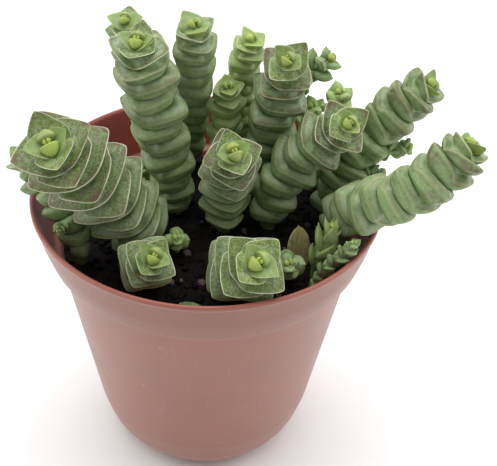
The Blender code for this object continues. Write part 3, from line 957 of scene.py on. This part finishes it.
def pot_material():
    """Matt terracotta-coloured plastic with faint scuffs and dust, and dark red painted shade on its inner
    wall.
    """
    m = Nodes("pot_plastic_matt")
    cloud, grain = m.noise(14.0, 4.0), m.noise(0.25, 2.0, 0.7)
    scuff, spots = m.noise(1.2, 3.0, 0.6, (1.0, 1.0, 0.12)), m.noise(1.6, 1.0)
    clouds = m.step(cloud, 0.3, 0.7)
    colour = m.mix(clouds, screen(144, 92, 77), screen(152, 100, 85))
    colour = m.mix(m.product(m.step(scuff, 0.58, 0.75), 0.25), colour, screen(176, 134, 120))
    colour = m.mix(m.product(m.step(grain, 0.6, 0.8), 0.15), colour, screen(190, 150, 138))
    colour = m.mix(m.product(m.step(spots, 0.76, 0.80), 0.45), colour, screen(200, 170, 158))
    axes = m.new("ShaderNodeSeparateXYZ")
    m.put(m.where, axes.inputs[0])
    across, along, height = (axes.outputs[k] for k in range(3))
    colour = m.mix(m.step(height, *in_metres(COLLAR_TINT), 0.0, 0.28), colour, screen(118, 72, 60))
    colour = m.mix(m.step(height, *in_metres(LIP_TINT), 0.0, 0.8), colour, screen(152, 82, 66))
    # Painted shade on the inner wall, dark red as where light shines through the thin plastic
    inner_shade_red = m.mix(clouds, screen(120, 44, 34), screen(132, 54, 42))
    colour = m.mix(inner_shade_mask(m, across, along, height), colour, inner_shade_red)
    m.look("Base Color", colour)
    m.look("Roughness", m.step(cloud, 0.3, 0.7, 0.42, 0.52))
    m.look("Sheen Weight", 0.2)
    m.bump(grain, 0.2, 0.05)
    return m.material


def soil_material():
    """Dark moist peat with paler grit; the grit's own value picks its colour."""
    m = Nodes("soil_peat")
    grit = m.value("tone")
    clump, fine = m.noise(2.2, 4.0, 0.7), m.noise(0.4, 3.0, 0.7)
    peat = m.mix(m.step(clump, 0.35, 0.7), screen(10, 8, 7), screen(30, 25, 22))
    stone = m.mix(m.step(fine, 0.35, 0.65), screen(84, 68, 64), screen(130, 112, 106))
    m.look("Base Color", m.mix(grit, peat, stone))
    m.look("Roughness", m.step(fine, 0.3, 0.7, 0.75, 0.95))
    m.look("Specular IOR Level", 0.2)
    m.bump(fine, 0.6, 0.3)
    return m.material


def dry_material():
    """Papery dried leaf."""
    m = Nodes("leaf_papery")
    streak, spot = m.noise(0.9, 4.0, 0.6, (1.0, 1.0, 0.15)), m.noise(1.5, 3.0, 0.6)
    colour = m.mix(m.step(streak, 0.3, 0.7), screen(222, 212, 160), screen(190, 172, 122))
    colour = m.mix(m.product(m.step(spot, 0.5, 0.75), 0.7), colour, screen(150, 124, 92))
    m.look("Base Color", colour)
    m.look("Roughness", 0.7)
    m.bump(streak, 0.6, 0.3)
    return m.material


def wall_radius(height):
    """Outer radius of the pot at a height."""
    radii, heights = zip(*OUTER_WALL)
    return float(np.interp(height, heights, radii))


def circle_rows(profile, sides):
    """Rings of a turned profile of radius and height."""
    angle = 2 * math.pi * np.arange(sides) / sides
    return [np.stack((radius * np.cos(angle), radius * np.sin(angle), np.full(sides, height)), axis=1)
            for radius, height in profile]


def softened(profile):
    """Profile with each inner corner replaced by a short curve."""
    points = [np.array(point, float) for point in profile]
    result = [points[0]]
    for before, corner, after in zip(points, points[1:], points[2:]):
        lengths = [np.linalg.norm(corner - before), np.linalg.norm(after - corner)]
        cut = min(CORNER_ROUNDING, *(length * CORNER_SHARE for length in lengths))
        start, end = corner + unit(before - corner) * cut, corner + unit(after - corner) * cut
        for share in np.linspace(0, 1, CORNER_STEPS):
            result.append((1 - share) ** 2 * start + 2 * share * (1 - share) * corner + share ** 2 * end)
    return [*result, points[-1]]


def make_pot(material):
    """Turned pot with softened lip and collar, and drain holes through the floor."""
    inner = [(wall_radius(height) - WALL, height) for height in INNER_HEIGHTS]
    rings = circle_rows(softened([*FOOT_RING, *OUTER_WALL, *LIP, *inner]), POT_SIDES)
    points = np.concatenate([[(0, 0, UNDERSIDE_LIFT)], *rings, [(0, 0, FLOOR)]])
    mesh = bpy.data.meshes.new("pot_wall")
    mesh.from_pydata((points * MM).tolist(), [], tube_faces(len(rings), POT_SIDES))
    mesh.materials.append(material)
    pot = settle(bpy.data.objects.new("pot_wall", mesh), "pot")
    drill_holes(pot)
    pot.data.shade_smooth()
    pot.data.set_sharp_from_angle(angle=math.radians(SHARP_DEGREES))


def drill_holes(pot):
    """Cut the drain holes and keep the result in the pot's mesh."""
    cutters = []
    for index in range(DRAIN_COUNT):
        angle = 2 * math.pi * (index + 0.5) / DRAIN_COUNT
        middle = (DRAIN_CIRCLE * math.cos(angle) * MM, DRAIN_CIRCLE * math.sin(angle) * MM, 0.0)
        bpy.ops.mesh.primitive_cylinder_add(vertices=DRAIN_SIDES, radius=DRAIN_RADIUS * MM,
                                            depth=DRILL_LENGTH * MM, location=middle)
        cutters.append(bpy.context.object)
        cut = pot.modifiers.new("hole", "BOOLEAN")
        cut.operation = "DIFFERENCE"
        cut.object = bpy.context.object
    graph = bpy.context.evaluated_depsgraph_get()
    pot.data = bpy.data.meshes.new_from_object(pot.evaluated_get(graph))
    pot.modifiers.clear()
    for cutter in cutters:
        bpy.data.objects.remove(cutter, do_unlink=True)


def soil_height(x, y):
    """Domed, crumbly surface of the soil."""
    out = math.hypot(x, y) / (wall_radius(SOIL_EDGE) - WALL)
    crumbs = 0.0
    for size, depth in SOIL_WAVES:
        crumbs += depth * noise.noise(Vector((x / size, y / size, size)))
    return SOIL_TOP - (SOIL_TOP - SOIL_EDGE) * out ** 3 + crumbs


def make_soil(material):
    """Soil with a crumbly top, loose crumbs and a few pale bits of grit."""
    body = Skin()
    blank = dict(age=0.0, ripe=0.0, rim=0.0, upper=0.0, tipward=0.0, blush=0.0)
    edge = wall_radius(SOIL_EDGE) - WALL - SOIL_EDGE_GAP
    below = [(wall_radius(height) - WALL - SOIL_SIDE_GAP, height) for height in SOIL_SIDE_HEIGHTS]
    rings = circle_rows(below, SOIL_SIDES)
    for share in np.linspace(1.0, SOIL_INNERMOST, SOIL_RINGS):
        ring = circle_rows([(edge * share, 0.0)], SOIL_SIDES)[0]
        ring[:, 2] = [soil_height(x, y) for x, y, _ in ring]
        rings.append(ring)
    points = np.concatenate([[(0, 0, SOIL_SIDE_HEIGHTS[0])], *rings, [(0, 0, soil_height(0, 0))]])
    body.add(points, tube_faces(len(rings), SOIL_SIDES), tone=0.0, **blank)
    add_crumbs(body, edge, blank)
    body.build("soil_bed", material, "soil", "soil")


def add_crumbs(body, edge, blank):
    """Loose crumbs all over the soil, the first of them pale."""
    draw = np.random.default_rng(SOIL_SEED)
    crumb_points, crumb_faces = crumb_shape()
    for index in range(CRUMB_COUNT):
        angle = draw.uniform(0, 2 * math.pi)
        out = edge * CRUMB_SPREAD * math.sqrt(draw.uniform())
        x, y = out * math.cos(angle), out * math.sin(angle)
        pale = index < PALE_COUNT
        size = draw.uniform(*(PALE_SIZE if pale else CRUMB_SIZE))
        stretch = np.array([draw.uniform(*limits) for limits in CRUMB_STRETCH]) * size
        bumpy = crumb_points * (1 + CRUMB_BUMPS * draw.normal(0, 1, len(crumb_points))[:, None])
        turn = draw.uniform(0, 2 * math.pi)
        cos, sin = math.cos(turn), math.sin(turn)
        spin = np.array(((cos, -sin, 0), (sin, cos, 0), (0, 0, 1)))
        placed = (bumpy * stretch) @ spin.T + (x, y, soil_height(x, y) + CRUMB_RISE * size)
        body.add(placed, crumb_faces, tone=draw.uniform(*PALE_TONE) if pale else 0.0, **blank)


def crumb_shape():
    """Points and faces of a small ball to be made uneven."""
    bpy.ops.mesh.primitive_ico_sphere_add(subdivisions=2, radius=1.0)
    ball = bpy.context.object
    points = np.array([tuple(vertex.co) for vertex in ball.data.vertices])
    faces = [tuple(face.vertices) for face in ball.data.polygons]
    bpy.data.objects.remove(ball, do_unlink=True)
    return points, faces


def make_fallen_leaves(green, dry):
    """The dried leaf standing in the soil and the small green one by the wall."""
    for leaf, *names in ((DRY_LEAF, "withered_leaf", dry, "leaf_dry", "leaf_withered"),
                         (GREEN_LEAF, "green_leaf", green, "leaf_green", "leaf_fallen")):
        body = Skin()
        add_leaf(body, **leaf, age=3.0, ripe=1.0, tone=0.5, blush=0.0)
        body.build(*names)


def make_stage():
    """Pale floor, soft lights and the surroundings."""
    bpy.ops.mesh.primitive_plane_add(size=FLOOR_WIDTH)
    floor = bpy.context.object
    floor.name = "floor"
    paper = Nodes("floor_paper")
    tint = paper.mix(paper.noise(80.0), screen(246, 246, 246), screen(250, 250, 250))
    paper.look("Base Color", tint)
    paper.look("Roughness", 0.9)
    floor.data.materials.append(paper.material)
    world = bpy.data.worlds.new("studio")
    bpy.context.scene.world = world
    world.use_nodes = True
    sky = world.node_tree.nodes["Background"]
    sky.inputs["Color"].default_value = (1.0, 1.0, 1.0, 1.0)
    sky.inputs["Strength"].default_value = SKY_STRENGTH
    for name, where, size, power in LIGHTS:
        lamp = bpy.data.lights.new(name, "AREA")
        lamp.size = size
        lamp.energy = power
        thing = bpy.data.objects.new(name, lamp)
        thing.location = where
        thing.rotation_mode = "QUATERNION"
        thing.rotation_quaternion = (Vector(LIGHT_AIM) - Vector(where)).to_track_quat("-Z", "Y")
        bpy.context.scene.collection.objects.link(thing)


def make_camera():
    """Camera at the photograph's angle."""
    place_mm, aim = Vector(CAMERA_PLACE), Vector(CAMERA_AIM)
    camera = bpy.data.cameras.new("camera")
    camera.lens = CAMERA_LENS
    camera.sensor_width = SENSOR_WIDTH
    camera.clip_start = NEAR_LIMIT
    thing = bpy.data.objects.new("camera", camera)
    roll = Matrix.Rotation(math.radians(CAMERA_ROLL), 3, "Z")
    turn = (aim - place_mm).to_track_quat("-Z", "Y").to_matrix() @ roll
    thing.matrix_world = Matrix.Translation(place_mm * MM) @ turn.to_4x4()
    bpy.context.scene.collection.objects.link(thing)
    bpy.context.scene.camera = thing


make_camera()
make_stage()
bpy.context.scene.view_settings.view_transform = "Standard"
LEAF = leaf_material("leaf_wax", 0.0)
# Paler copy for some small stems, partly painted light
PALE_AND_LIT_LEAF = leaf_material("leaf_wax_pale_and_lit", PALE_AND_LIT_SHARE)
make_pot(pot_material())
make_soil(soil_material())
make_fallen_leaves(LEAF, dry_material())
for number, row in enumerate(STEMS):
    make_stem(row, PALE_AND_LIT_LEAF if row["name"] in PALE_AND_LIT_STEMS else LEAF, FIRST_SEED + number)
bpy.context.view_layer.update()
